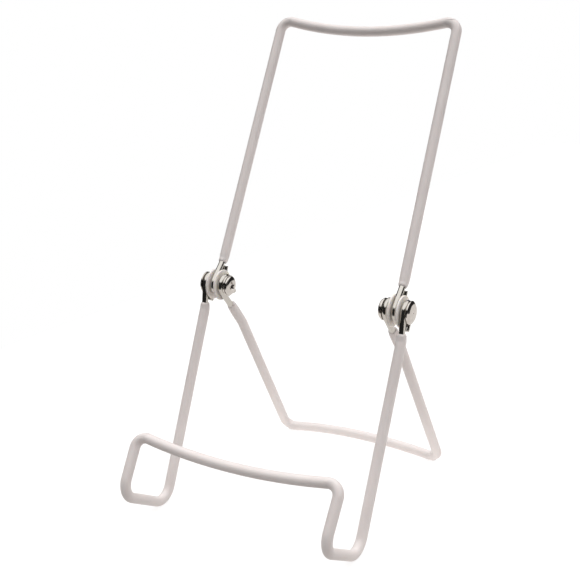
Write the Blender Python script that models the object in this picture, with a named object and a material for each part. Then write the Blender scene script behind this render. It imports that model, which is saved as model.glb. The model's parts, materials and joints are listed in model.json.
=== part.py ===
# Wire easel for a photo album. Three bent steel wires, each dipped in white vinyl, turn on two
# short pivots: a front frame with two hooks and a lip, a back rest above it and a rear leg.
# Metres, +Z up, the front towards -Y. The stand rests on Z = 0, centred on the origin.

import math

import bmesh
import bpy
from mathutils import Matrix, Vector

# Wire and coating
WIRE_DIAMETER = 0.0030
COATED_DIAMETER = 0.0050
SLEEVE_GAP = 0.0002  # between the wire and the bore of its coating
COATING_END_DIAMETER = 0.0042  # the coating runs out thinner towards the pivots
COATING_TAPER = 0.0060  # length over which it does
BEND_RADIUS = 0.0052  # at the wire's centre line
HOOK_BEND_RADIUS = 0.0082  # at the feet and at the tips of the ledges
WIRE_SIDES = 12

# Front frame, from the pivot down the leg, out along the ledge and up the lip
FRONT_EYE_SPACING = 0.1080
FRONT_FOOT_SPACING = 0.1058
FRONT_LIP_SPACING = 0.1072
FRONT_LEG_LENGTH = 0.1119
LEDGE_LENGTH = 0.0381
LIP_HEIGHT = 0.0294
LEDGE_BEND = math.radians(94.7)  # turn from the leg into the ledge
LIP_BEND = math.radians(92.4)  # turn from the ledge into the lip
LIP_BOW = 0.0045  # how far the lip's bar dips in the middle
FRONT_LEAN = math.radians(23.5)  # from upright
FRONT_COATING_START = 0.0102  # distance from the pivot to the end of the coating

# Back rest
BACK_REST_LENGTH = 0.1447
BACK_REST_TOP_SPACING = 0.0974
BACK_REST_BOW = 0.0065
BACK_REST_LEAN = math.radians(26.9)
BACK_REST_COATING_START = 0.0112
BACK_REST_TAIL = 0.0100

# Rear leg, as long as it takes to reach the floor at this lean
REAR_LEG_LEAN = math.radians(34.3)  # from upright, of the line from the pivot to the foot's corner
REAR_FOOT_SPACING = 0.0944
REAR_LEG_BOW = 0.0067
REAR_COATING_START = 0.0118
REAR_EYE_OFFSET_LENGTH = 0.0280  # as EYE_OFFSET_LENGTH: a gentler offset than the other wires'

# Eyes, bent round the barrel nuts
EYE_GAP = 0.0003  # between the barrel and the wire that goes round it
EYE_OFFSET_LENGTH = 0.0135  # where the wire leaves its line to pass in front of the barrel
EYE_TAIL = 0.0080  # straight end past the turn
EYE_CLOSING = math.radians(6)  # how far past the half turn, so that the end closes on the wire
EYE_STEPS = 13

# Fasteners: a barrel nut from outside, through every eye, and a pan-head screw into it from inside
BARREL_DIAMETER = 0.0048
BARREL_HEAD_DIAMETER = 0.0112
BARREL_HEAD_HEIGHT = 0.0017
BARREL_HEAD_SIDE = 0.0006  # straight part of the head's edge
BARREL_FACE_DIAMETER = 0.0084  # where the slope from the edge meets the nearly flat face
BARREL_FACE_RISE = 0.0002
BARREL_FLOOR = 0.0010  # solid end of the threaded bore, measured from under the head
BARREL_SHORT = 0.0005  # how far the barrel stops short of the steel washer, so that it clamps
SCREW_DIAMETER = 0.0030
SCREW_LENGTH = 0.0100
SCREW_HEAD_DIAMETER = 0.0096
SCREW_HEAD_HEIGHT = 0.0016
SCREW_FACE_DIAMETER = 0.0066
RECESS_WIDTH = 0.0012
RECESS_SPAN = 0.0052
RECESS_DEPTH = 0.0011
NYLON_WASHER_DIAMETER = 0.0155
NYLON_WASHER_THICKNESS = 0.0011
NYLON_BORE_GAP = 0.0008  # all round the barrel
NYLON_WASHER_OFFSET = 0.0006  # the washers are clamped this much behind the axis, within that gap
STEEL_WASHER_DIAMETER = 0.0106
STEEL_WASHER_THICKNESS = 0.0008
STACK_GAP = 0.0002  # between the pieces clamped together
BORE_GAP = 0.0003  # all round, between a screw or barrel and the hole it goes through
ROUND_SIDES = 24

WIRE_RADIUS = WIRE_DIAMETER / 2
COATED_RADIUS = COATED_DIAMETER / 2
SLEEVE_BORE_RADIUS = WIRE_RADIUS + SLEEVE_GAP
BARREL_RADIUS = BARREL_DIAMETER / 2
SCREW_RADIUS = SCREW_DIAMETER / 2
EYE_RADIUS = BARREL_RADIUS + EYE_GAP + WIRE_RADIUS

# The stack on each barrel nut, given as distances from the middle plane, from the outside in
LAYER_PITCH = WIRE_DIAMETER + NYLON_WASHER_THICKNESS + 2 * STACK_GAP
FRONT_EYE_X = FRONT_EYE_SPACING / 2
BACK_REST_EYE_X = FRONT_EYE_X - LAYER_PITCH
REAR_EYE_X = BACK_REST_EYE_X - LAYER_PITCH
OUTER_WASHER_X = FRONT_EYE_X - LAYER_PITCH / 2
INNER_WASHER_X = BACK_REST_EYE_X - LAYER_PITCH / 2
BARREL_HEAD_X = FRONT_EYE_X + WIRE_RADIUS + STACK_GAP
STEEL_WASHER_X = REAR_EYE_X - WIRE_RADIUS - STACK_GAP - STEEL_WASHER_THICKNESS / 2
BARREL_END_X = STEEL_WASHER_X + STEEL_WASHER_THICKNESS / 2 + BARREL_SHORT
SCREW_SEAT_X = STEEL_WASHER_X - STEEL_WASHER_THICKNESS / 2 - STACK_GAP

CORNER_STEPS = 6
SLIGHT_BEND = math.radians(30)  # a bend under this needs fewer steps
SLIGHT_BEND_STEPS = 2
BAR_STEPS = 6  # along half of a crossbar
TAPER_SHARES = (0, 0.2, 0.5, 1)  # where the rings of a coating's tapered end stand
HEAD_SHARES = (1.0, 0.92, 0.75, 0.5, 0.2)  # steps from a head's edge in to its crown
MERGE_DISTANCE = 0.00001
SHARP_EDGE = math.radians(35)  # edges that turn by more than this are drawn sharp


# ---- centre lines -------------------------------------------------------------------------

def rounded_corner(before, corner, after, radius):
    """Points of the arc that replaces a corner."""
    into = (corner - before).normalized()
    out = (after - corner).normalized()
    turn = into.angle(out)
    steps = SLIGHT_BEND_STEPS if turn < SLIGHT_BEND else CORNER_STEPS
    cut = radius * math.tan(turn / 2)
    start = corner - into * cut
    sideways = (out - into * into.dot(out)).normalized()
    points = []
    for step in range(steps + 1):
        angle = turn * step / steps
        along = radius * math.sin(angle)
        across = radius * (1 - math.cos(angle))
        points.append(start + into * along + sideways * across)
    return points


def eye_points(offset_start, tail):
    """The eye from its cut end to the point where the wire leaves the barrel in front.

    offset_start is where the wire comes back onto its line, above or below the barrel.
    """
    x = offset_start.x
    away = math.copysign(1, offset_start.z)
    leaving = math.asin(EYE_RADIUS / abs(offset_start.z))
    sweep = EYE_CLOSING + math.pi + leaving
    start = Vector((x, EYE_RADIUS * math.cos(EYE_CLOSING), away * EYE_RADIUS * math.sin(EYE_CLOSING)))
    points = [start + Vector((0, -math.sin(EYE_CLOSING), away * math.cos(EYE_CLOSING))) * tail]
    for step in range(EYE_STEPS + 1):
        angle = sweep * step / EYE_STEPS - EYE_CLOSING
        y = EYE_RADIUS * math.cos(angle)
        z = -away * EYE_RADIUS * math.sin(angle)
        points.append(Vector((x, y, z)))
    return points


def bar_points(corner, towards_pivot, bow):
    """Half of a crossbar, from near its corner to the middle plane, bowed by `bow`."""
    points = []
    for step in range(1, BAR_STEPS + 1):
        share = step / BAR_STEPS
        point = corner + towards_pivot * bow * share * (2 - share)
        point.x = corner.x * (1 - share)
        points.append(point)
    return points


def wire_path(eye, corners, bar):
    """One half of a wire: its eye, its corners, each with a bend radius, and half of its crossbar."""
    path = list(eye)
    line = [eye[-1], *[corner for corner, _ in corners], bar[0]]
    for before, (corner, radius), after in zip(line, corners, line[2:]):
        path.extend(rounded_corner(before, corner, after, radius))
    path.extend(bar)
    return path


def front_frame_path():
    """Leg straight down from the pivot, ledge out to the front, lip up, then the bar."""
    ledge = Vector((0, -math.sin(LEDGE_BEND), -math.cos(LEDGE_BEND)))
    lip = Vector((0, -math.sin(LEDGE_BEND + LIP_BEND), -math.cos(LEDGE_BEND + LIP_BEND)))
    offset_start = Vector((FRONT_EYE_X, 0, -EYE_OFFSET_LENGTH))
    foot = Vector((FRONT_FOOT_SPACING / 2, 0, -FRONT_LEG_LENGTH))
    ledge_tip = foot + ledge * LEDGE_LENGTH
    lip_top = ledge_tip + lip * LIP_HEIGHT
    lip_top.x = FRONT_LIP_SPACING / 2
    eye = eye_points(offset_start, EYE_TAIL)
    corners = [
        (offset_start, BEND_RADIUS),
        (foot, HOOK_BEND_RADIUS),
        (ledge_tip, HOOK_BEND_RADIUS),
        (lip_top, BEND_RADIUS),
    ]
    return wire_path(eye, corners, bar_points(lip_top, -lip, LIP_BOW))


def back_rest_path():
    offset_start = Vector((BACK_REST_EYE_X, 0, EYE_OFFSET_LENGTH))
    corner = Vector((BACK_REST_TOP_SPACING / 2, 0, BACK_REST_LENGTH))
    eye = eye_points(offset_start, BACK_REST_TAIL)
    bar = bar_points(corner, Vector((0, 0, -1)), BACK_REST_BOW)
    return wire_path(eye, [(offset_start, BEND_RADIUS), (corner, BEND_RADIUS)], bar)


def rear_leg_path(length):
    offset_start = Vector((REAR_EYE_X, 0, -REAR_EYE_OFFSET_LENGTH))
    corner = Vector((REAR_FOOT_SPACING / 2, 0, -length))
    eye = eye_points(offset_start, EYE_TAIL)
    bar = bar_points(corner, Vector((0, 0, 1)), REAR_LEG_BOW)
    return wire_path(eye, [(offset_start, BEND_RADIUS), (corner, BEND_RADIUS)], bar)


def point_at(path, distance):
    """Where a path, past its eye, is first this far above or below the pivots."""
    first = next(i for i, point in enumerate(path) if i > EYE_STEPS + 1 and abs(point.z) > distance)
    before, after = path[first - 1], path[first]
    share = (distance - abs(before.z)) / (abs(after.z) - abs(before.z))
    return before.lerp(after, share)


def coated_part(path, start):
    """The stretch of a path that the coating covers, with points for its tapered end."""
    end = start + COATING_TAPER
    covered = [point for point in path[EYE_STEPS + 2:] if abs(point.z) > start]
    near = [point for point in covered if abs(point.z) < end]
    near += [point_at(path, start + COATING_TAPER * share) for share in TAPER_SHARES]
    near.sort(key=lambda point: abs(point.z))
    return near + [point for point in covered if abs(point.z) > end]


def coating_radius(distance):
    """The coating's outer radius, this far from its end."""
    share = min(distance / COATING_TAPER, 1)
    end_radius = COATING_END_DIAMETER / 2
    return end_radius + (COATED_RADIUS - end_radius) * share * (2 - share)


def leaned(path, angle):
    turn = Matrix.Rotation(angle, 3, "X")
    return [turn @ point for point in path]


# ---- meshes -------------------------------------------------------------------------------

def ring_frames(path):
    """A tangent and two crosswise directions for each point, turning as little as they can."""
    frames = []
    side = Vector((1, 0, 0))
    for index, point in enumerate(path):
        if index == 0:
            tangent = path[1] - point
        elif index == len(path) - 1:
            tangent = Vector((-1, 0, 0))  # square to the middle plane, where the halves meet
        else:
            tangent = (point - path[index - 1]).normalized() + (path[index + 1] - point).normalized()
        tangent.normalize()
        side = (side - tangent * side.dot(tangent)).normalized()
        frames.append((point, side, tangent.cross(side)))
    return frames


def tube_rings(bm, path, radii):
    rings = []
    for (point, side, up), radius in zip(ring_frames(path), radii):
        ring = []
        for step in range(WIRE_SIDES):
            angle = 2 * math.pi * step / WIRE_SIDES
            ring.append(bm.verts.new(point + (side * math.cos(angle) + up * math.sin(angle)) * radius))
        rings.append(ring)
    return rings


def bridge(bm, first, second):
    """Faces between two rings, facing away from the axis when the second ring is ahead."""
    count = len(first)
    for i in range(count):
        j = (i + 1) % count
        bm.faces.new((first[i], first[j], second[j], second[i]))


def wire_mesh(name, path):
    """Half of a solid wire, capped at its cut end and open at the middle plane."""
    bm = bmesh.new()
    rings = tube_rings(bm, path, [WIRE_RADIUS] * len(path))
    for first, second in zip(rings, rings[1:]):
        bridge(bm, first, second)
    bm.faces.new(reversed(rings[0]))
    return finished_mesh(bm, name)


def sleeve_mesh(name, path, start):
    """Half of a coating: a tube with a bore, tapered at its end and open at the middle plane."""
    bm = bmesh.new()
    outer = tube_rings(bm, path, [coating_radius(abs(point.z) - start) for point in path])
    inner = tube_rings(bm, path, [SLEEVE_BORE_RADIUS] * len(path))
    for first, second in zip(outer, outer[1:]):
        bridge(bm, first, second)
    for first, second in zip(inner, inner[1:]):
        bridge(bm, second, first)
    bridge(bm, inner[0], outer[0])
    return finished_mesh(bm, name)


def turned_mesh(name, profile, closed):
    """A piece turned about X. The profile's points are (x, radius), along +X on the outside."""
    bm = bmesh.new()
    rings = []
    for x, radius in profile:
        ring = []
        for step in range(ROUND_SIDES):
            angle = 2 * math.pi * step / ROUND_SIDES
            ring.append(bm.verts.new((x, radius * math.cos(angle), radius * math.sin(angle))))
        rings.append(ring)
    for first, second in zip(rings, rings[1:]):
        bridge(bm, first, second)
    if closed:
        bridge(bm, rings[-1], rings[0])
    else:
        bm.faces.new(reversed(rings[0]))
        bm.faces.new(rings[-1])
    return finished_mesh(bm, name)


def finished_mesh(bm, name):
    mesh = bpy.data.meshes.new(name)
    bm.to_mesh(mesh)
    bm.free()
    mesh.shade_smooth()
    mesh.set_sharp_from_angle(angle=SHARP_EDGE)
    return mesh


def washer_mesh(name, diameter, thickness, bore):
    half = thickness / 2
    outer = diameter / 2
    profile = [(-half, bore), (-half, outer), (half, outer), (half, bore)]
    return turned_mesh(name, profile, closed=True)


def rounded_shoulder(edge, crown, x, height, direction):
    """Profile points of a head's face, from its edge in to a nearly flat crown."""
    points = []
    for share in HEAD_SHARES:
        radius = crown + (edge - crown) * share
        points.append((x + direction * height * math.sqrt(1 - share * share), radius))
    return points


def barrel_nut_mesh(name):
    """The right-hand barrel nut: its head at +X, the mouth of its bore towards the middle."""
    bore = SCREW_RADIUS + BORE_GAP
    head = BARREL_HEAD_DIAMETER / 2
    edge_x = BARREL_HEAD_X + BARREL_HEAD_SIDE
    profile = [(BARREL_HEAD_X - BARREL_FLOOR, bore), (BARREL_END_X, bore)]
    face = BARREL_FACE_DIAMETER / 2
    face_x = BARREL_HEAD_X + BARREL_HEAD_HEIGHT - BARREL_FACE_RISE
    profile += [(BARREL_END_X, BARREL_RADIUS), (BARREL_HEAD_X, BARREL_RADIUS)]
    profile += [(BARREL_HEAD_X, head), (edge_x, head)]
    profile += rounded_shoulder(face, 0, face_x, BARREL_FACE_RISE, 1)
    return turned_mesh(name, profile, closed=False)


def pan_screw_mesh(name):
    """The right-hand screw: its head towards the middle of the stand, its point at +X."""
    head = SCREW_HEAD_DIAMETER / 2
    face = SCREW_FACE_DIAMETER / 2
    skirt = rounded_shoulder(head, face, SCREW_SEAT_X, SCREW_HEAD_HEIGHT, -1)
    end_x = SCREW_SEAT_X + SCREW_LENGTH
    profile = [(skirt[-1][0], face * HEAD_SHARES[-1])] + skirt[::-1]
    profile += [(SCREW_SEAT_X, SCREW_RADIUS), (end_x - SCREW_RADIUS / 2, SCREW_RADIUS)]
    profile += [(end_x, SCREW_RADIUS / 2)]
    return turned_mesh(name, profile, closed=False)


def recess_mesh(name):
    """The cross for a screwdriver, pushed out of one cross-shaped outline."""
    wide, span = RECESS_WIDTH / 2, RECESS_SPAN / 2
    quarter = [(span, -wide), (span, wide), (wide, wide)]
    bm = bmesh.new()
    outline = []
    for turn in range(4):
        cos, sin = ((1, 0), (0, 1), (-1, 0), (0, -1))[turn]
        for y, z in quarter:
            outline.append(bm.verts.new((-RECESS_DEPTH, y * cos - z * sin, y * sin + z * cos)))
    floor = bm.faces.new(outline)
    pushed = bmesh.ops.extrude_face_region(bm, geom=[floor])
    top = [item for item in pushed["geom"] if isinstance(item, bmesh.types.BMVert)]
    bmesh.ops.translate(bm, vec=(2 * RECESS_DEPTH, 0, 0), verts=top)
    bmesh.ops.recalc_face_normals(bm, faces=bm.faces)
    return finished_mesh(bm, name)


# ---- materials ----------------------------------------------------------------------------

def material(name, color, roughness, metallic):
    made = bpy.data.materials.new(name)
    made.use_nodes = True
    shader = made.node_tree.nodes["Principled BSDF"]
    shader.inputs["Base Color"].default_value = (*color, 1)
    shader.inputs["Roughness"].default_value = roughness
    shader.inputs["Metallic"].default_value = metallic
    made.diffuse_color = (*color, 1)
    return made


# ---- objects ------------------------------------------------------------------------------

def body_empty(name, pivot, lean):
    """An empty on the pivot's axis, turned so that its wire leans as it stands."""
    empty = bpy.data.objects.new(name, None)
    empty.location = pivot
    empty.rotation_euler.x = lean
    bpy.context.scene.collection.objects.link(empty)
    return empty


def add_object(name, mesh, finish, parent):
    made = bpy.data.objects.new(name, mesh)
    if finish:
        mesh.materials.clear()
        mesh.materials.append(finish)
    made.parent = parent
    bpy.context.scene.collection.objects.link(made)
    return made


def add_mirrored(name, mesh, finish, parent):
    made = add_object(name, mesh, finish, parent)
    mirror = made.modifiers.new("other_half", "MIRROR")
    mirror.use_axis = (True, False, False)
    mirror.merge_threshold = MERGE_DISTANCE
    return made


def add_cutter(name, mesh, parent):
    cutter = add_object(name, mesh, None, parent)
    cutter.hide_render = True
    cutter.display_type = "WIRE"
    return cutter


def add_boolean(target, cutter, operation):
    cut = target.modifiers.new(cutter.name, "BOOLEAN")
    cut.object = cutter
    cut.operation = operation
    cut.solver = "EXACT"


def lowest(path):
    return min(point.z for point in path)


def add_wire(name, path, coating_start, wire_finish, coating_finish, parent):
    """A bent wire and the coating on it."""
    add_mirrored(name + "_wire", wire_mesh(name + "_wire", path), wire_finish, parent)
    sleeve = sleeve_mesh(name + "_coating", coated_part(path, coating_start), coating_start)
    add_mirrored(name + "_coating", sleeve, coating_finish, parent)


def add_fasteners(side, turn, parent, plated, nylon):
    """One side's barrel nut and screw, and everything that they clamp."""
    stack = bpy.data.objects.new(side + "_stack", None)
    stack.rotation_euler.z = turn
    stack.parent = parent
    bpy.context.scene.collection.objects.link(stack)

    add_object(side + "_barrel_nut", barrel_nut_mesh(side + "_barrel_nut"), plated, stack)
    screw = add_object(side + "_pan_screw", pan_screw_mesh(side + "_pan_screw"), plated, stack)
    recess = add_cutter(side + "_recess", recess_mesh(side + "_recess"), stack)
    recess.location.x = SCREW_SEAT_X - SCREW_HEAD_HEIGHT
    add_boolean(screw, recess, "DIFFERENCE")

    backwards = NYLON_WASHER_OFFSET * math.cos(turn)
    nylon_size = (NYLON_WASHER_DIAMETER, NYLON_WASHER_THICKNESS, BARREL_RADIUS + NYLON_BORE_GAP)
    steel_size = (STEEL_WASHER_DIAMETER, STEEL_WASHER_THICKNESS, SCREW_RADIUS + BORE_GAP)
    washers = (
        ("_outer_nylon_washer", (OUTER_WASHER_X, backwards, 0), nylon_size, nylon),
        ("_inner_nylon_washer", (INNER_WASHER_X, backwards, 0), nylon_size, nylon),
        ("_steel_washer", (STEEL_WASHER_X, 0, 0), steel_size, plated),
    )
    for label, place, size, finish in washers:
        washer = add_object(side + label, washer_mesh(side + label, *size), finish, stack)
        washer.location = place


def main():
    for old in list(bpy.data.objects):
        bpy.data.objects.remove(old)

    bright_steel = material("bright_steel_wire", (0.62, 0.61, 0.58), 0.22, 1.0)
    plated = material("nickel_plated_steel", (0.66, 0.65, 0.61), 0.18, 1.0)
    vinyl = material("white_vinyl", (0.80, 0.78, 0.77), 0.38, 0.0)
    nylon = material("natural_nylon", (0.82, 0.80, 0.74), 0.42, 0.0)

    # The front frame's lowest bend rests on the floor, which sets the pivots' height. The rear
    # leg then swings back until it rests there too.
    front_path = front_frame_path()
    back_path = back_rest_path()
    front_turn = -FRONT_LEAN
    pivot_height = COATED_RADIUS - lowest(leaned(front_path, front_turn))
    rear_drop = pivot_height - COATED_RADIUS
    rear_path = rear_leg_path(rear_drop / math.cos(REAR_LEG_LEAN))
    rear_turn = math.acos(rear_drop / -lowest(rear_path))
    front_edge = min(point.y for point in leaned(front_path, front_turn)) - COATED_RADIUS
    back_edge = max(point.y for point in leaned(rear_path, rear_turn)) + COATED_RADIUS
    pivot = Vector((0, -(front_edge + back_edge) / 2, pivot_height))

    front_frame = body_empty("front_frame", pivot, front_turn)
    back_rest = body_empty("back_rest", pivot, -BACK_REST_LEAN)
    rear_leg = body_empty("rear_leg", pivot, rear_turn)

    add_wire("front_frame", front_path, FRONT_COATING_START, bright_steel, vinyl, front_frame)
    add_wire("back_rest", back_path, BACK_REST_COATING_START, bright_steel, vinyl, back_rest)
    add_wire("rear_leg", rear_path, REAR_COATING_START, bright_steel, vinyl, rear_leg)
    add_fasteners("right", 0, front_frame, plated, nylon)
    add_fasteners("left", math.pi, front_frame, plated, nylon)
    print("pivot axis", tuple(round(value, 6) for value in pivot))


main()
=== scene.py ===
# Looks of a folding wire easel for a photo album: three bent steel wires, dipped in white vinyl,
# on two clamped pivots. Metres, +Z up, the front towards -Y, the pivots' axis along X.
import json
import math

import bmesh
import bpy
from mathutils import Matrix, Vector


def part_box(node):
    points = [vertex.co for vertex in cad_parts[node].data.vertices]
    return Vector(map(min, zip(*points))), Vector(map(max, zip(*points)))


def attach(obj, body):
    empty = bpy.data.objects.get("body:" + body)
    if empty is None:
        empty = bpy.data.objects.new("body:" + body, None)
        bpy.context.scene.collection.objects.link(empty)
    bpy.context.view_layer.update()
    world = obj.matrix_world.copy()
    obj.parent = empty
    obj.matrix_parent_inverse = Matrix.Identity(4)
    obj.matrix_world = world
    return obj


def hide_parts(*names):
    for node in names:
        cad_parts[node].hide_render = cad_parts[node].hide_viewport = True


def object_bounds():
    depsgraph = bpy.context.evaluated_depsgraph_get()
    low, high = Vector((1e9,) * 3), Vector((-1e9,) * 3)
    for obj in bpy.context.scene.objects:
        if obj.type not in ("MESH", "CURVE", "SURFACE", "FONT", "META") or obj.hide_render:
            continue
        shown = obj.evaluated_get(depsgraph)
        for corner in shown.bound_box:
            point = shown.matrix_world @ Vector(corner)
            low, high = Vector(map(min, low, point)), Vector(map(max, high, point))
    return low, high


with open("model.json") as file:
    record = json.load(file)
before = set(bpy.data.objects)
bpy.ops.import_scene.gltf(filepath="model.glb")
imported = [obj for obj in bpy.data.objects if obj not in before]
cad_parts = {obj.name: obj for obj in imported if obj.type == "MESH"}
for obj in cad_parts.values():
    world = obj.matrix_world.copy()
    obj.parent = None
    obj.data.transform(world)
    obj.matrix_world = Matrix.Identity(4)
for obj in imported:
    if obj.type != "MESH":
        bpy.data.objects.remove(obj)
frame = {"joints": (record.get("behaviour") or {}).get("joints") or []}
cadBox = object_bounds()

jointPlaces = {joint["name"]: Vector(joint["pos_m"]) for joint in frame["joints"]}
pivot = jointPlaces["back_rest_tilt"]
collection = bpy.context.scene.collection
sharpFrom = math.radians(35)  # an edge that turns by more than this is drawn sharp


def addNode(tree, kind, settings=None, inputs=None):
    # inputs may hold a value or the output socket to link from
    made = tree.nodes.new(kind)
    for name, value in (settings or {}).items():
        setattr(made, name, value)
    for name, value in (inputs or {}).items():
        if isinstance(value, bpy.types.NodeSocket):
            tree.links.new(value, made.inputs[name])
        else:
            made.inputs[name].default_value = value
    return made


def linearColour(hexCode):
    channels = [int(hexCode[i:i + 2], 16) / 255 for i in (1, 3, 5)]
    return (*[c / 12.92 if c <= 0.04045 else ((c + 0.055) / 1.055) ** 2.4 for c in channels], 1)


def newMaterial(name):
    made = bpy.data.materials.new(name)
    made.use_nodes = True
    return made, made.node_tree, made.node_tree.nodes["Principled BSDF"]


def evaluatedMesh(piece):
    # the mesh after the piece's modifiers, which are then removed
    depsgraph = bpy.context.evaluated_depsgraph_get()
    mesh = bpy.data.meshes.new_from_object(piece.evaluated_get(depsgraph))
    piece.modifiers.clear()
    return mesh


def finishPiece(piece, node, body):
    piece.data.set_sharp_from_angle(angle=sharpFrom)
    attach(piece, body)
    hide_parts(node)


def dippedVinyl():
    # Plastisol (soft PVC), dipped and cured: satin, a little see-into, with a faint orange peel.
    look = {
        "light": "#f1ebea",
        "dark": "#e6dedd",
        "mottle": 0.011,  # size of the cloudiness
        "peel": 0.0011,  # width of an orange-peel dimple
        "peelDepth": 0.00006,
        "peelStrength": 0.10,
        "roughness": (0.36, 0.47),
        "seeInto": 0.08,
        "scatter": 0.0008,  # how far light travels inside
    }
    material, tree, shader = newMaterial("dippedVinyl")
    place = addNode(tree, "ShaderNodeTexCoord").outputs["Object"]
    clouds = addNode(tree, "ShaderNodeTexNoise", inputs={
        "Vector": place, "Scale": 1 / look["mottle"], "Detail": 3.0, "Roughness": 0.55})
    colour = addNode(tree, "ShaderNodeMix", {"data_type": "RGBA"}, {
        0: clouds.outputs["Fac"], 6: linearColour(look["dark"]), 7: linearColour(look["light"])})
    peel = addNode(tree, "ShaderNodeTexNoise", inputs={
        "Vector": place, "Scale": 1 / look["peel"], "Detail": 2.0, "Roughness": 0.4})
    satin = addNode(tree, "ShaderNodeMapRange", inputs={
        "Value": clouds.outputs["Fac"],
        "To Min": look["roughness"][0], "To Max": look["roughness"][1]})
    dimples = addNode(tree, "ShaderNodeBump", inputs={
        "Strength": look["peelStrength"], "Distance": look["peelDepth"], "Height": peel.outputs["Fac"]})
    tree.links.new(colour.outputs[2], shader.inputs["Base Color"])
    tree.links.new(satin.outputs["Result"], shader.inputs["Roughness"])
    tree.links.new(dimples.outputs["Normal"], shader.inputs["Normal"])
    shader.inputs["IOR"].default_value = 1.53
    shader.inputs["Subsurface Weight"].default_value = look["seeInto"]
    shader.inputs["Subsurface Radius"].default_value = (1.0, 0.75, 0.65)
    shader.inputs["Subsurface Scale"].default_value = look["scatter"]
    return material


def drawnSteel():
    # Bright low-carbon wire, drawn through dies: mirror-like, with hair lines along its length.
    look = {
        "bright": "#dcdad5",
        "dull": "#c1bdb7",
        "hairline": 0.00022,  # coarser than real die marks, so that they show
        "hairlineLength": 0.009,
        "hairlineDepth": 0.00001,
        "hairlineStrength": 0.10,
        "roughness": (0.10, 0.20),
    }
    material, tree, shader = newMaterial("drawnSteel")
    along = addNode(tree, "ShaderNodeAttribute", {"attribute_name": "along"}).outputs["Fac"]
    across = addNode(tree, "ShaderNodeAttribute", {"attribute_name": "across"}).outputs["Vector"]
    section = addNode(tree, "ShaderNodeSeparateXYZ", inputs={"Vector": across})
    straight = addNode(tree, "ShaderNodeCombineXYZ", inputs={
        "X": section.outputs["X"], "Y": section.outputs["Y"], "Z": along})
    stretched = addNode(tree, "ShaderNodeMapping", inputs={
        "Vector": straight.outputs["Vector"],
        "Scale": (1 / look["hairline"], 1 / look["hairline"], 1 / look["hairlineLength"])})
    lines = addNode(tree, "ShaderNodeTexNoise", inputs={
        "Vector": stretched.outputs["Vector"], "Scale": 1.0, "Detail": 3.0, "Roughness": 0.6})
    colour = addNode(tree, "ShaderNodeMix", {"data_type": "RGBA"}, {
        0: lines.outputs["Fac"], 6: linearColour(look["dull"]), 7: linearColour(look["bright"])})
    polish = addNode(tree, "ShaderNodeMapRange", inputs={
        "Value": lines.outputs["Fac"],
        "To Min": look["roughness"][0], "To Max": look["roughness"][1]})
    scratches = addNode(tree, "ShaderNodeBump", inputs={
        "Strength": look["hairlineStrength"], "Distance": look["hairlineDepth"],
        "Height": lines.outputs["Fac"]})
    tree.links.new(colour.outputs[2], shader.inputs["Base Color"])
    tree.links.new(polish.outputs["Result"], shader.inputs["Roughness"])
    tree.links.new(scratches.outputs["Normal"], shader.inputs["Normal"])
    shader.inputs["Metallic"].default_value = 1.0
    return material


def nickelPlate():
    # Bright nickel on turned steel: a warm mirror, with faint rings left by the lathe.
    look = {
        "bright": "#e3dfdb",
        "dull": "#cdc9c4",
        "ring": 0.00035,  # lathe marks, wider than real so that they show
        "ringDepth": 0.00001,
        "ringStrength": 0.06,
        "haze": 0.0014,  # size of the cloudy patches
        "roughness": (0.08, 0.17),
    }
    material, tree, shader = newMaterial("nickelPlate")
    place = addNode(tree, "ShaderNodeTexCoord").outputs["Object"]
    centred = addNode(tree, "ShaderNodeMapping", inputs={"Vector": place, "Location": -pivot})
    rings = addNode(tree, "ShaderNodeTexWave", {"wave_type": "RINGS", "rings_direction": "X"}, {
        "Vector": centred.outputs["Vector"], "Scale": 0.5 / look["ring"], "Distortion": 0.4})
    haze = addNode(tree, "ShaderNodeTexNoise", inputs={
        "Vector": place, "Scale": 1 / look["haze"], "Detail": 3.0})
    colour = addNode(tree, "ShaderNodeMix", {"data_type": "RGBA"}, {
        0: haze.outputs["Fac"], 6: linearColour(look["dull"]), 7: linearColour(look["bright"])})
    polish = addNode(tree, "ShaderNodeMapRange", inputs={
        "Value": haze.outputs["Fac"],
        "To Min": look["roughness"][0], "To Max": look["roughness"][1]})
    marks = addNode(tree, "ShaderNodeBump", inputs={
        "Strength": look["ringStrength"], "Distance": look["ringDepth"], "Height": rings.outputs["Fac"]})
    tree.links.new(colour.outputs[2], shader.inputs["Base Color"])
    tree.links.new(polish.outputs["Result"], shader.inputs["Roughness"])
    tree.links.new(marks.outputs["Normal"], shader.inputs["Normal"])
    shader.inputs["Metallic"].default_value = 1.0
    return material


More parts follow.
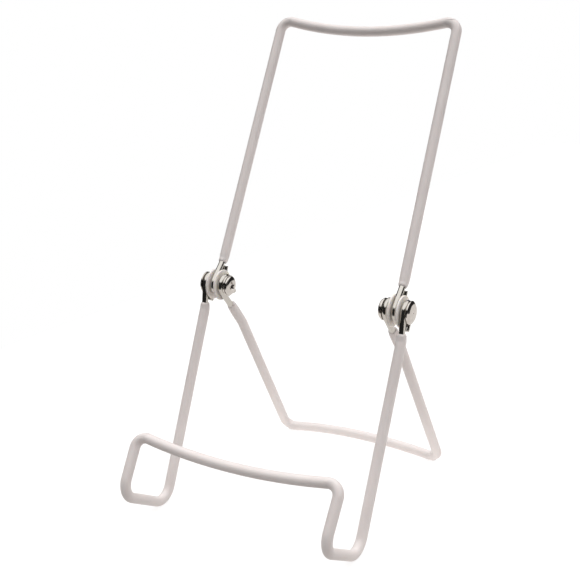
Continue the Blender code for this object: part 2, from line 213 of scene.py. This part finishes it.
def naturalNylon():
    # Undyed nylon 6, moulded: creamy and see-into, slightly hazy where it was clamped.
    look = {
        "light": "#fbf6f2",
        "dark": "#f3ece7",
        "grain": 0.0009,
        "grainDepth": 0.00005,
        "grainStrength": 0.12,
        "cloud": 0.004,
        "roughness": (0.38, 0.50),
        "seeInto": 0.25,
        "scatter": 0.0012,  # how far light travels inside
    }
    material, tree, shader = newMaterial("naturalNylon")
    place = addNode(tree, "ShaderNodeTexCoord").outputs["Object"]
    clouds = addNode(tree, "ShaderNodeTexNoise", inputs={
        "Vector": place, "Scale": 1 / look["cloud"], "Detail": 2.0})
    colour = addNode(tree, "ShaderNodeMix", {"data_type": "RGBA"}, {
        0: clouds.outputs["Fac"], 6: linearColour(look["dark"]), 7: linearColour(look["light"])})
    grain = addNode(tree, "ShaderNodeTexNoise", inputs={
        "Vector": place, "Scale": 1 / look["grain"], "Detail": 2.0})
    satin = addNode(tree, "ShaderNodeMapRange", inputs={
        "Value": grain.outputs["Fac"],
        "To Min": look["roughness"][0], "To Max": look["roughness"][1]})
    rough = addNode(tree, "ShaderNodeBump", inputs={
        "Strength": look["grainStrength"], "Distance": look["grainDepth"], "Height": grain.outputs["Fac"]})
    tree.links.new(colour.outputs[2], shader.inputs["Base Color"])
    tree.links.new(satin.outputs["Result"], shader.inputs["Roughness"])
    tree.links.new(rough.outputs["Normal"], shader.inputs["Normal"])
    shader.inputs["IOR"].default_value = 1.53
    shader.inputs["Subsurface Weight"].default_value = look["seeInto"]
    shader.inputs["Subsurface Radius"].default_value = (1.0, 0.85, 0.6)
    shader.inputs["Subsurface Scale"].default_value = look["scatter"]
    return material


vinyl = dippedVinyl()
steel = drawnSteel()
nickel = nickelPlate()
nylon = naturalNylon()
print("finishes made: dipped vinyl, drawn steel, nickel plate, natural nylon")


# what the three wires have in common
wireStock = {
    "wireRadius": 0.0015,
    "coatedRadius": 0.0025,
    "bendRadius": 0.0052,
    "hookBendRadius": 0.0082,  # at the feet and the tips of the ledges
    "bendSteps": 14,  # for a right angle
    "fewestBendSteps": 3,
    "barSteps": 14,  # along half of a crossbar
    "eyeRadius": 0.0042,  # at the wire's centre, round the barrel
    "eyeOffsetLength": 0.0135,  # where the wire leaves its line to pass in front of the barrel
    "eyeClosing": math.radians(6),  # past the half turn
    "eyeSteps": 36,
    "longestStep": 0.0030,  # between two points of a centre line
    "closestStep": 0.000004,
    "endSteps": 8,  # in the rounding of an end
    "taperSteps": 6,  # in the taper behind it
}


def roundedBend(before, corner, after, radius):
    into = (corner - before).normalized()
    out = (after - corner).normalized()
    turn = into.angle(out)
    steps = max(wireStock["fewestBendSteps"], round(wireStock["bendSteps"] * turn / math.radians(90)))
    start = corner - into * radius * math.tan(turn / 2)
    sideways = (out - into * into.dot(out)).normalized()
    angles = [turn * step / steps for step in range(steps + 1)]
    return [start + into * radius * math.sin(a) + sideways * radius * (1 - math.cos(a)) for a in angles]


def eyeTurn(offsetStart, tail):
    # from the wire's cut end to where it leaves the barrel in front, to reach its line at offsetStart
    x = offsetStart.x
    away = math.copysign(1, offsetStart.z)
    radius = wireStock["eyeRadius"]
    closing = wireStock["eyeClosing"]
    sweep = closing + math.pi + math.asin(radius / abs(offsetStart.z))
    start = Vector((x, radius * math.cos(closing), away * radius * math.sin(closing)))
    points = [start + Vector((0, -math.sin(closing), away * math.cos(closing))) * tail]
    for step in range(wireStock["eyeSteps"] + 1):
        angle = sweep * step / wireStock["eyeSteps"] - closing
        points.append(Vector((x, radius * math.cos(angle), -away * radius * math.sin(angle))))
    return points


def crossbarHalf(corner, towardsPivot, bow):
    points = []
    for step in range(1, wireStock["barSteps"] + 1):
        share = step / wireStock["barSteps"]
        point = corner + towardsPivot * bow * share * (2 - share)
        point.x = corner.x * (1 - share)
        points.append(point)
    return points


def wireHalf(eye, corners, bar):
    # each corner comes with its bend radius
    path = list(eye)
    line = [eye[-1], *[corner for corner, radius in corners], bar[0]]
    for before, (corner, radius), after in zip(line, corners, line[2:]):
        path.extend(roundedBend(before, corner, after, radius))
    path.extend(bar)
    return path


def coatedHalf(path, start):
    # what lies further than start from the pivots
    eyeEnd = wireStock["eyeSteps"] + 2
    first = next(i for i, point in enumerate(path) if i > eyeEnd and abs(point.z) > start)
    before, after = path[first - 1], path[first]
    share = (start - abs(before.z)) / (abs(after.z) - abs(before.z))
    return [before.lerp(after, share), *path[first:]]


def wholePath(half, lean):
    # both halves in one line, leaned and moved to the pivots
    mirrored = [Vector((-point.x, point.y, point.z)) for point in reversed(half[:-1])]
    turn = Matrix.Rotation(lean, 3, "X")
    return [turn @ point + pivot for point in half + mirrored]


def refinedPath(path, endRounding, taper):
    # adds points along straight stretches, and where the ends are rounded and tapered
    lengths = [0.0]
    for start, end in zip(path, path[1:]):
        lengths.append(lengths[-1] + (end - start).length)
    total = lengths[-1]
    places = set(lengths)
    for start, end in zip(lengths, lengths[1:]):
        steps = math.ceil((end - start) / wireStock["longestStep"])
        places.update(start + (end - start) * step / steps for step in range(steps))
    endSteps, taperSteps = wireStock["endSteps"], wireStock["taperSteps"]
    for step in range(endSteps + 1):
        inwards = endRounding * (1 - math.cos(math.pi / 2 * step / endSteps))
        places.update((inwards, total - inwards))
    for step in range(1, taperSteps + 1):
        inwards = endRounding + (taper - endRounding) * step / taperSteps
        places.update((inwards, total - inwards))
    points, last, index = [], None, 0
    for place in sorted(places):
        if last is not None and place - last < wireStock["closestStep"] and place < total:
            continue
        while index < len(lengths) - 2 and lengths[index + 1] < place:
            index += 1
        span = lengths[index + 1] - lengths[index]
        points.append(path[index].lerp(path[index + 1], (place - lengths[index]) / span))
        last = place
    return points


def sweptSectionTree():
    # a wire or a coating, swept along its centre line
    tree = bpy.data.node_groups.new("sweptSection", "GeometryNodeTree")
    sockets = (
        ("Centre Line", "NodeSocketGeometry"),
        ("Radius", "NodeSocketFloat"),
        ("Sides", "NodeSocketInt"),
        ("End Rounding", "NodeSocketFloat"),
        ("End Share", "NodeSocketFloat"),
        ("Taper", "NodeSocketFloat"),
        ("Taper Share", "NodeSocketFloat"),
        ("Unevenness", "NodeSocketFloat"),
        ("Unevenness Size", "NodeSocketFloat"),
        ("Finish", "NodeSocketMaterial"),
    )
    for label, kind in sockets:
        tree.interface.new_socket(label, in_out="INPUT", socket_type=kind)
    tree.interface.new_socket("Swept", in_out="OUTPUT", socket_type="NodeSocketGeometry")
    given = addNode(tree, "NodeGroupInput").outputs

    def maths(operation, first, second=0.0, clamped=False):
        return addNode(tree, "ShaderNodeMath", {"operation": operation, "use_clamp": clamped},
                       {0: first, 1: second}).outputs[0]

    line = addNode(tree, "GeometryNodeMeshToCurve", inputs={"Mesh": given["Centre Line"]})
    along = addNode(tree, "GeometryNodeSplineParameter").outputs["Length"]
    total = addNode(tree, "GeometryNodeSplineLength").outputs["Length"]
    fromEnd = maths("MINIMUM", along, maths("SUBTRACT", total, along))
    inwards = maths("DIVIDE", fromEnd, given["End Rounding"], clamped=True)
    leftOver = maths("SUBTRACT", 1.0, inwards)
    roundness = maths("SQRT", maths("SUBTRACT", 1.0, maths("MULTIPLY", leftOver, leftOver)))
    wider = maths("SUBTRACT", 1.0, given["End Share"])
    rounded = maths("ADD", given["End Share"], maths("MULTIPLY", roundness, wider))
    taperPlace = maths("DIVIDE", fromEnd, given["Taper"], clamped=True)
    growth = maths("MULTIPLY", taperPlace, maths("SUBTRACT", 2.0, taperPlace))
    fuller = maths("SUBTRACT", 1.0, given["Taper Share"])
    tapered = maths("ADD", given["Taper Share"], maths("MULTIPLY", growth, fuller))
    share = maths("MULTIPLY", rounded, tapered)
    waves = addNode(tree, "ShaderNodeTexNoise", inputs={
        "Scale": maths("DIVIDE", 1.0, given["Unevenness Size"]), "Detail": 1.0})
    lumps = maths("MULTIPLY", maths("SUBTRACT", waves.outputs[0], 0.5), given["Unevenness"])
    radius = maths("MULTIPLY", share, maths("ADD", 1.0, lumps))

    marked = addNode(tree, "GeometryNodeStoreNamedAttribute", {"domain": "POINT"}, {
        "Geometry": line.outputs["Curve"], "Name": "along", "Value": along})
    circle = addNode(tree, "GeometryNodeCurvePrimitiveCircle", inputs={
        "Resolution": given["Sides"], "Radius": given["Radius"]})
    section = addNode(tree, "GeometryNodeStoreNamedAttribute",
                      {"data_type": "FLOAT_VECTOR", "domain": "POINT"}, {
                          "Geometry": circle.outputs["Curve"], "Name": "across",
                          "Value": addNode(tree, "GeometryNodeInputPosition").outputs["Position"]})
    swept = addNode(tree, "GeometryNodeCurveToMesh", inputs={
        "Curve": marked.outputs["Geometry"], "Profile Curve": section.outputs["Geometry"],
        "Scale": radius, "Fill Caps": True})
    smooth = addNode(tree, "GeometryNodeSetShadeSmooth", inputs={"Geometry": swept.outputs["Mesh"]})
    real = addNode(tree, "GeometryNodeRealizeInstances", inputs={"Geometry": smooth.outputs["Geometry"]})
    finished = addNode(tree, "GeometryNodeSetMaterial", inputs={
        "Geometry": real.outputs["Geometry"], "Material": given["Finish"]})
    addNode(tree, "NodeGroupOutput", inputs={"Swept": finished.outputs["Geometry"]})
    return tree


sweptSection = sweptSectionTree()

bareWire = {
    "Radius": wireStock["wireRadius"],
    "Sides": 40,
    "End Rounding": 0.0003,  # burr left by the shears, rubbed off
    "End Share": 0.80,
    "Taper": 0.001,
    "Taper Share": 1.0,  # none
    "Unevenness": 0.0,
    "Unevenness Size": 0.01,
    "Finish": steel,
}
vinylSleeve = {
    "Radius": wireStock["coatedRadius"],
    "Sides": 48,
    "End Rounding": 0.0010,
    "End Share": 0.76,  # closes on the wire
    "Taper": 0.0060,  # the coating runs out thinner towards the pivots
    "Taper Share": 0.84,
    "Unevenness": 0.035,
    "Unevenness Size": 0.014,
    "Finish": vinyl,
}


def sweptPiece(name, path, section):
    points = refinedPath(path, section["End Rounding"], section["Taper"])
    line = bpy.data.meshes.new(name)
    line.from_pydata(points, [(i, i + 1) for i in range(len(points) - 1)], [])
    piece = bpy.data.objects.new(name, line)
    collection.objects.link(piece)
    sweep = piece.modifiers.new("sweep", "NODES")
    sweep.node_group = sweptSection
    for socket in sweptSection.interface.items_tree:
        if socket.in_out == "INPUT" and socket.name in section:
            sweep[socket.identifier] = section[socket.name]
    piece.data = evaluatedMesh(piece)
    return piece


def addWire(body, half, lean, coatingStart):
    wire = sweptPiece(body + "WireBare", wholePath(half, lean), bareWire)
    finishPiece(wire, body + "_wire", body)
    sleeve = sweptPiece(body + "Vinyl", wholePath(coatedHalf(half, coatingStart), lean), vinylSleeve)
    finishPiece(sleeve, body + "_coating", body)
    print(body, "swept:", len(wire.data.polygons), "and", len(sleeve.data.polygons), "faces")


frontFrame = {
    "eyeX": 0.0540,
    "footX": 0.0529,
    "lipX": 0.0536,
    "legLength": 0.1119,
    "ledgeLength": 0.0381,
    "lipHeight": 0.0294,
    "ledgeBend": math.radians(94.7),
    "lipBend": math.radians(92.4),
    "lipBow": 0.0045,
    "tail": 0.0080,
    "lean": -math.radians(23.5),
    "coatingStart": 0.0102,
}


def addFrontFrame(sizes):
    ledgeAngle = sizes["ledgeBend"]
    lipAngle = ledgeAngle + sizes["lipBend"]
    ledge = Vector((0, -math.sin(ledgeAngle), -math.cos(ledgeAngle)))
    lip = Vector((0, -math.sin(lipAngle), -math.cos(lipAngle)))
    offsetStart = Vector((sizes["eyeX"], 0, -wireStock["eyeOffsetLength"]))
    foot = Vector((sizes["footX"], 0, -sizes["legLength"]))
    ledgeTip = foot + ledge * sizes["ledgeLength"]
    lipTop = ledgeTip + lip * sizes["lipHeight"]
    lipTop.x = sizes["lipX"]
    eye = eyeTurn(offsetStart, sizes["tail"])
    plain, hook = wireStock["bendRadius"], wireStock["hookBendRadius"]
    corners = [(offsetStart, plain), (foot, hook), (ledgeTip, hook), (lipTop, plain)]
    half = wireHalf(eye, corners, crossbarHalf(lipTop, -lip, sizes["lipBow"]))
    addWire("front_frame", half, sizes["lean"], sizes["coatingStart"])


backRest = {
    "eyeX": 0.0495,
    "topX": 0.0487,
    "length": 0.1447,
    "bow": 0.0065,
    "tail": 0.0100,
    "lean": -math.radians(26.9),
    "coatingStart": 0.0112,
}


def addBackRest(sizes):
    offsetStart = Vector((sizes["eyeX"], 0, wireStock["eyeOffsetLength"]))
    corner = Vector((sizes["topX"], 0, sizes["length"]))
    eye = eyeTurn(offsetStart, sizes["tail"])
    plain = wireStock["bendRadius"]
    bar = crossbarHalf(corner, Vector((0, 0, -1)), sizes["bow"])
    half = wireHalf(eye, [(offsetStart, plain), (corner, plain)], bar)
    addWire("back_rest", half, sizes["lean"], sizes["coatingStart"])


rearLeg = {
    "eyeX": 0.0450,
    "footX": 0.0472,
    "lean": math.radians(34.3),  # of the line from the pivot to the foot's corner
    "bow": 0.0067,
    "offsetLength": 0.0280,  # a gentler offset than the other wires'
    "tail": 0.0080,
    "coatingStart": 0.0118,
}


def addRearLeg(sizes):
    offsetStart = Vector((sizes["eyeX"], 0, -sizes["offsetLength"]))
    drop = pivot.z - wireStock["coatedRadius"]
    corner = Vector((sizes["footX"], 0, -drop / math.cos(sizes["lean"])))
    eye = eyeTurn(offsetStart, sizes["tail"])
    plain = wireStock["bendRadius"]
    bar = crossbarHalf(corner, Vector((0, 0, 1)), sizes["bow"])
    half = wireHalf(eye, [(offsetStart, plain), (corner, plain)], bar)
    reach = max(-point.z for point in half)
    lean = math.acos(drop / reach)  # until it rests on the floor
    addWire("rear_leg", half, lean, sizes["coatingStart"])


addFrontFrame(frontFrame)
addBackRest(backRest)
addRearLeg(rearLeg)


turning = {
    "sides": 72,
    "filletSteps": 6,
    "pointRadius": 0.000001,  # a ring smaller than this is a point on the axis
}


def softenedOutline(corners, closed):
    # corners are (along the axis, radius, fillet); returns points with each corner rounded
    points = []
    count = len(corners)
    for index, (x, radius, fillet) in enumerate(corners):
        here = Vector((x, radius))
        atEnd = not closed and index in (0, count - 1)
        if atEnd or not fillet:
            points.append(here)
            continue
        before = Vector(corners[index - 1][:2])
        after = Vector(corners[(index + 1) % count][:2])
        into = (here - before).normalized()
        out = (after - here).normalized()
        turn = into.angle(out)
        sideways = (out - into * into.dot(out)).normalized()
        start = here - into * fillet * math.tan(turn / 2)
        for step in range(turning["filletSteps"] + 1):
            angle = turn * step / turning["filletSteps"]
            points.append(start + into * fillet * math.sin(angle) + sideways * fillet * (1 - math.cos(angle)))
    return points


def turnedMesh(name, outline, closed, centre, outwards):
    # outline runs round the section; outwards is +1 on the right and -1 on the left
    sides = turning["sides"]
    bm = bmesh.new()
    rings = []
    for along, radius in outline:
        x = centre.x + outwards * along
        if radius < turning["pointRadius"]:
            rings.append([bm.verts.new((x, centre.y, centre.z))])
            continue
        angles = [2 * math.pi * step / sides for step in range(sides)]
        rings.append([bm.verts.new((x, centre.y + radius * math.cos(a), centre.z + radius * math.sin(a)))
                      for a in angles])
    pairs = list(zip(rings, rings[1:]))
    if closed:
        pairs.append((rings[-1], rings[0]))
    for first, second in pairs:
        for i in range(sides):
            j = (i + 1) % sides
            if len(first) == 1:
                bm.faces.new((first[0], second[j], second[i]))
            elif len(second) == 1:
                bm.faces.new((first[i], first[j], second[0]))
            else:
                bm.faces.new((first[i], first[j], second[j], second[i]))
    bmesh.ops.recalc_face_normals(bm, faces=bm.faces)
    mesh = bpy.data.meshes.new(name)
    bm.to_mesh(mesh)
    bm.free()
    mesh.shade_smooth()
    return mesh


def newPiece(name, mesh, finish):
    mesh.materials.append(finish)
    piece = bpy.data.objects.new(name, mesh)
    collection.objects.link(piece)
    return piece


def boxOf(node, outwards):
    # centre, and (inner end, outer end) along the axis counted outwards from the middle plane
    low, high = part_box(node)
    ends = sorted((outwards * low.x, outwards * high.x))
    return (low + high) / 2, ends, (high.z - low.z) / 2


nylonWasher = {"boreRadius": 0.0032, "edgeFillet": 0.00048, "boreFillet": 0.0002}
steelWasher = {"boreRadius": 0.0018, "edgeFillet": 0.00012, "boreFillet": 0.00008}


def addWasher(side, outwards, label, sizes, finish):
    node = side + "_" + label
    centre, (inner, outer), radius = boxOf(node, outwards)
    half = (outer - inner) / 2
    bore, edge, mouth = sizes["boreRadius"], sizes["edgeFillet"], sizes["boreFillet"]
    corners = [(-half, bore, mouth), (-half, radius, edge), (half, radius, edge), (half, bore, mouth)]
    outline = softenedOutline(corners, closed=True)
    piece = newPiece(node + "Turned", turnedMesh(node, outline, True, centre, outwards), finish)
    finishPiece(piece, node, "front_frame")


barrelNut = {
    "barrelRadius": 0.0024,
    "boreRadius": 0.0018,
    "headHeight": 0.0017,
    "sideHeight": 0.0006,
    "faceRadius": 0.0042,  # where the slope from the edge meets the nearly flat face
    "faceRise": 0.0002,
    "rimFillet": 0.0003,
    "domeShare": 0.84,  # of the face's radius, where its dome starts
    "domeSteps": 10,
    "domeRise": 0.3,  # of the face's rise, reached where its dome starts
    "innerFillet": 0.0001,
    "mouthFillet": 0.0002,
    "boreDepth": 0.0010,  # from under the head to the bore's blind end
    "centreMark": 0.00045,  # radius of the mark left by the lathe's centre
    "markDepths": (0.35, 0.42),  # of that radius, near its middle and in it
    "markMiddle": 0.3,  # of that radius, where the first depth is reached
}


def addBarrelNut(side, outwards):
    sizes = barrelNut
    node = side + "_barrel_nut"
    centre, (inner, outer), headRadius = boxOf(node, outwards)
    centre = Vector((0, centre.y, centre.z))
    underHead = outer - sizes["headHeight"]
    sideEnd = underHead + sizes["sideHeight"]
    faceStart = outer - sizes["faceRise"]
    domeEdge = sizes["faceRadius"] * sizes["domeShare"]
    domeStart = faceStart + sizes["faceRise"] * sizes["domeRise"]
    inside = sizes["innerFillet"]
    outline = softenedOutline([
        (underHead - sizes["boreDepth"], 0, 0),
        (underHead - sizes["boreDepth"], sizes["boreRadius"], inside),
        (inner, sizes["boreRadius"], inside),
        (inner, sizes["barrelRadius"], sizes["mouthFillet"]),
        (underHead, sizes["barrelRadius"], inside),
        (underHead, headRadius, inside),
        (sideEnd, headRadius, sizes["rimFillet"]),
        (faceStart, sizes["faceRadius"], sizes["rimFillet"]),
        (domeStart, domeEdge, 0),
    ], closed=False)
    # the face is slightly domed, with the mark of the lathe's centre in the middle
    markRadius = sizes["centreMark"]
    for step in range(1, sizes["domeSteps"] + 1):
        radius = domeEdge + (markRadius - domeEdge) * step / sizes["domeSteps"]
        outline.append(Vector((outer - sizes["faceRise"] * (radius / sizes["faceRadius"]) ** 2, radius)))
    outline.append(Vector((outer - markRadius * sizes["markDepths"][0], markRadius * sizes["markMiddle"])))
    outline.append(Vector((outer - markRadius * sizes["markDepths"][1], 0)))
    piece = newPiece(node + "Turned", turnedMesh(node, outline, False, centre, outwards), nickel)
    finishPiece(piece, node, "front_frame")


panScrew = {
    "headHeight": 0.0016,
    "faceRadius": 0.0014,
    "shankRadius": 0.0015,
    "threadDepth": 0.00031,
    "pitch": 0.0005,
    "threadStart": 0.0006,  # from the seat, plain up to here
    "threadFadeIn": 0.0004,
    "threadFadeOut": 0.0008,  # at the tip
    "threadClear": 0.0001,  # the seat and the middle of the tip, which the thread leaves alone
    "ringsPerPitch": 8,
    "skirtSteps": 12,
    "faceShare": 0.7,  # of the face's radius, where the face starts to fall away
    "faceFalls": (0.00002, 0.00006),  # there and at the face's edge
    "edgeHeight": 0.0003,  # how far the skirt stops short of the seat, before the second fall
    "edgeFlat": 0.00006,
    "edgeCut": 0.00008,  # taken off the seat's rim
    "recessSpan": 0.0052,
    "recessWidth": 0.0016,
    "recessDepth": 0.0016,
    "recessTurn": 20,  # degrees
    "recessMouth": (-0.4, 1.15),  # depth and width, as shares, of the cutter in front of the face
    "recessFloor": (1.0, 0.30),
}


def crossCutter(centre, faceX, outwards, sizes):
    # a tapered cross, open at the head's face
    bm = bmesh.new()
    rings = []
    for depth, share in (sizes["recessMouth"], sizes["recessFloor"]):
        span = sizes["recessSpan"] / 2 * share
        wide = sizes["recessWidth"] / 2 * (0.5 + 0.5 * share)
        x = outwards * (faceX + sizes["recessDepth"] * depth)
        ring = []
        for turn in range(4):
            spin = Matrix.Rotation(math.radians(90 * turn + sizes["recessTurn"]), 2)
            for corner in ((span, -wide), (span, wide), (wide, wide)):
                place = spin @ Vector(corner)
                ring.append(bm.verts.new((x, centre.y + place.x, centre.z + place.y)))
        rings.append(ring)
    count = len(rings[0])
    for i in range(count):
        j = (i + 1) % count
        bm.faces.new((rings[0][i], rings[0][j], rings[1][j], rings[1][i]))
    bm.faces.new(rings[0])
    bm.faces.new(rings[1])
    bmesh.ops.recalc_face_normals(bm, faces=bm.faces)
    mesh = bpy.data.meshes.new("crossCutter")
    bm.to_mesh(mesh)
    bm.free()
    return mesh


def threadedShank(seat, tip, sizes):
    # gives a function: the radius at a place and an angle, for a thread that fades out at both ends
    length = tip - seat

    def radiusAt(along, angle):
        phase = ((along / sizes["pitch"]) + angle / (2 * math.pi)) % 1.0
        crest = 1 - abs(2 * phase - 1)
        fade = min(1.0, (along - sizes["threadStart"]) / sizes["threadFadeIn"],
                   (length - along) / sizes["threadFadeOut"])
        return sizes["shankRadius"] - sizes["threadDepth"] * (1 - crest * max(0.0, fade))
    return radiusAt


def addPanScrew(side, outwards):
    sizes = panScrew
    node = side + "_pan_screw"
    centre, (inner, outer), headRadius = boxOf(node, outwards)
    centre = Vector((0, centre.y, centre.z))
    seat = inner + sizes["headHeight"]
    face, (firstFall, edgeFall) = sizes["faceRadius"], sizes["faceFalls"]
    outline = [Vector((inner, 0)), Vector((inner + firstFall, face * sizes["faceShare"]))]
    for step in range(sizes["skirtSteps"] + 1):
        angle = math.pi / 2 * step / sizes["skirtSteps"]
        radius = face + (headRadius - face) * math.sin(angle)
        drop = (seat - inner - sizes["edgeHeight"]) * (1 - math.cos(angle))
        outline.append(Vector((inner + edgeFall + drop, radius)))
    outline.append(Vector((seat - sizes["edgeFlat"], headRadius)))
    outline.append(Vector((seat, headRadius - sizes["edgeCut"])))
    outline.append(Vector((seat, sizes["shankRadius"])))
    ringGap = sizes["pitch"] / sizes["ringsPerPitch"]
    ringCount = int((outer - seat) / ringGap)
    radiusAt = threadedShank(seat, outer, sizes)
    outline += [Vector((seat + ringGap * (i + 1), sizes["shankRadius"])) for i in range(ringCount - 1)]
    outline.append(Vector((outer, 0)))
    mesh = turnedMesh(node, outline, False, centre, outwards)
    for vertex in mesh.vertices:
        along = outwards * vertex.co.x - seat
        offset = Vector((vertex.co.y - centre.y, vertex.co.z - centre.z))
        if along > sizes["threadClear"] and offset.length > sizes["threadClear"]:
            wanted = offset.normalized() * radiusAt(along, math.atan2(offset.y, offset.x))
            vertex.co.y = centre.y + wanted.x
            vertex.co.z = centre.z + wanted.y
    piece = newPiece(node + "Turned", mesh, nickel)
    cutterMesh = crossCutter(centre, inner, outwards, sizes)
    cutterMesh.materials.append(nickel)
    cutter = bpy.data.objects.new("crossCutter", cutterMesh)
    collection.objects.link(cutter)
    cut = piece.modifiers.new("recess", "BOOLEAN")
    cut.object = cutter
    cut.operation = "DIFFERENCE"
    cut.solver = "EXACT"
    piece.data = evaluatedMesh(piece)
    bpy.data.objects.remove(cutter)
    finishPiece(piece, node, "front_frame")


for side, outwards in (("right", 1), ("left", -1)):
    addBarrelNut(side, outwards)
    addPanScrew(side, outwards)
    addWasher(side, outwards, "outer_nylon_washer", nylonWasher, nylon)
    addWasher(side, outwards, "inner_nylon_washer", nylonWasher, nylon)
    addWasher(side, outwards, "steel_washer", steelWasher, nickel)
    print(side, "pivot's fasteners made")


paperTable = {
    "left": -0.30,
    "right": 0.90,
    "front": -0.14,
    "back": 1.50,
    "brightFrom": 0.05,  # Y, from where the paper throws its full light
    "below": 0.0001,  # under the feet
    "colour": "#fffaf6",
    "shade": "#8f8f8f",  # what takes the shadows
    "seen": 0.80,  # glow of the white paper itself
    "mirrored": 0.85,  # in the metal
    "thrown": (0.40, 1.20),  # on the undersides, at the front edge and from brightFrom back
}


def addFloor(sizes):
    # a plain table of lit white paper, so that it stays pale all over
    z = cadBox[0].z - sizes["below"]
    left, right, front, back = (sizes[edge] for edge in ("left", "right", "front", "back"))
    mesh = bpy.data.meshes.new("floor")
    mesh.from_pydata([(left, front, z), (right, front, z), (right, back, z), (left, back, z)],
                     [], [(0, 1, 2, 3)])
    material = bpy.data.materials.new("litPaper")
    material.use_nodes = True
    tree = material.node_tree
    tree.nodes.clear()
    ray = addNode(tree, "ShaderNodeLightPath").outputs
    place = addNode(tree, "ShaderNodeTexCoord").outputs["Object"]
    depth = addNode(tree, "ShaderNodeSeparateXYZ", inputs={"Vector": place}).outputs["Y"]
    thrown = addNode(tree, "ShaderNodeMapRange", inputs={
        "Value": depth, "From Min": front, "From Max": sizes["brightFrom"],
        "To Min": sizes["thrown"][0], "To Max": sizes["thrown"][1]}).outputs["Result"]
    given = addNode(tree, "ShaderNodeMix", {"data_type": "FLOAT"}, {
        0: ray["Is Glossy Ray"], 2: thrown, 3: sizes["mirrored"]}).outputs[0]
    cast = addNode(tree, "ShaderNodeEmission", inputs={
        "Color": linearColour(sizes["colour"]), "Strength": given})
    glow = addNode(tree, "ShaderNodeEmission", inputs={"Color": (1, 1, 1, 1), "Strength": sizes["seen"]})
    paper = addNode(tree, "ShaderNodeBsdfDiffuse", inputs={"Color": linearColour(sizes["shade"])})
    shown = addNode(tree, "ShaderNodeAddShader", inputs={0: glow.outputs[0], 1: paper.outputs[0]})
    both = addNode(tree, "ShaderNodeMixShader", inputs={
        0: ray["Is Camera Ray"], 1: cast.outputs[0], 2: shown.outputs[0]})
    addNode(tree, "ShaderNodeOutputMaterial", inputs={"Surface": both.outputs[0]})
    mesh.materials.append(material)
    floor = bpy.data.objects.new("floor", mesh)
    collection.objects.link(floor)


studioLight = {
    "overhead": 1.8,  # brightness of the tent above
    "mirroredOverhead": 1.2,  # the same, as the metal and the shine of the coats show it
    "room": 0.05,  # the unlit room all round, below the tent
    "mirroredRoom": 0.02,
    "roomTop": 0.57,  # sine of the height where the tent starts
    "edge": 0.20,
    "shown": 1.0,
}


def addTent(sizes):
    world = bpy.data.worlds.new("lightTent")
    bpy.context.scene.world = world
    world.use_nodes = True
    tree = world.node_tree
    tree.nodes.clear()
    direction = addNode(tree, "ShaderNodeTexCoord").outputs["Generated"]
    height = addNode(tree, "ShaderNodeSeparateXYZ", inputs={"Vector": direction}).outputs["Z"]
    ray = addNode(tree, "ShaderNodeLightPath").outputs
    low = addNode(tree, "ShaderNodeMapRange", {"interpolation_type": "SMOOTHSTEP"}, {
        "Value": height, "From Min": sizes["roomTop"] + sizes["edge"] / 2,
        "From Max": sizes["roomTop"] - sizes["edge"] / 2}).outputs["Result"]
    above = addNode(tree, "ShaderNodeMix", {"data_type": "FLOAT"}, {
        0: ray["Is Glossy Ray"], 2: sizes["overhead"], 3: sizes["mirroredOverhead"]}).outputs[0]
    below = addNode(tree, "ShaderNodeMix", {"data_type": "FLOAT"}, {
        0: ray["Is Glossy Ray"], 2: sizes["room"], 3: sizes["mirroredRoom"]}).outputs[0]
    strength = addNode(tree, "ShaderNodeMix", {"data_type": "FLOAT"}, {
        0: low, 2: above, 3: below}).outputs[0]
    lighting = addNode(tree, "ShaderNodeBackground", inputs={
        "Color": linearColour("#fffdfb"), "Strength": strength})
    shown = addNode(tree, "ShaderNodeBackground", inputs={
        "Color": (1, 1, 1, 1), "Strength": sizes["shown"]})
    both = addNode(tree, "ShaderNodeMixShader", inputs={
        0: ray["Is Camera Ray"], 1: lighting.outputs[0], 2: shown.outputs[0]})
    addNode(tree, "ShaderNodeOutputWorld", inputs={"Surface": both.outputs[0]})


softbox = {
    "place": (0.5, -0.75, 0.55),
    "size": 0.8,
    "watts": 0.1,
    "aim": (0, 0, 0.1),
}


def addSoftbox(sizes):
    # fills the viewer's side, and isn't mirrored in the metal
    light = bpy.data.lights.new("fillSoftbox", "AREA")
    light.size = sizes["size"]
    light.energy = sizes["watts"]
    lamp = bpy.data.objects.new("fillSoftbox", light)
    place = Vector(sizes["place"])
    lamp.location = place
    lamp.rotation_mode = "QUATERNION"
    lamp.rotation_quaternion = (Vector(sizes["aim"]) - place).to_track_quat("-Z", "Y")
    lamp.visible_glossy = False
    collection.objects.link(lamp)


viewpoint = {
    "azimuth": math.radians(29.66),
    "elevation": math.radians(15.0),
    "distance": 0.5012,
    "lens": 64.1,
    "sensor": 36,
    "nearest": 0.01,
    "aim": Vector((-0.0075, 0, 0.0024)),  # from the middle of the pivots' axis
}


def addCamera(sizes):
    level = math.cos(sizes["elevation"])
    forward = Vector((-math.sin(sizes["azimuth"]) * level, math.cos(sizes["azimuth"]) * level,
                      -math.sin(sizes["elevation"])))
    data = bpy.data.cameras.new("camera")
    data.lens = sizes["lens"]
    data.sensor_width = sizes["sensor"]
    data.clip_start = sizes["nearest"]
    camera = bpy.data.objects.new("camera", data)
    camera.location = pivot + sizes["aim"] - forward * sizes["distance"]
    camera.rotation_mode = "QUATERNION"
    camera.rotation_quaternion = forward.to_track_quat("-Z", "Y")
    collection.objects.link(camera)
    bpy.context.scene.camera = camera


addFloor(paperTable)
addTent(studioLight)
addSoftbox(softbox)
addCamera(viewpoint)
bpy.context.scene.view_settings.view_transform = "Standard"
print("floor, light and camera placed")
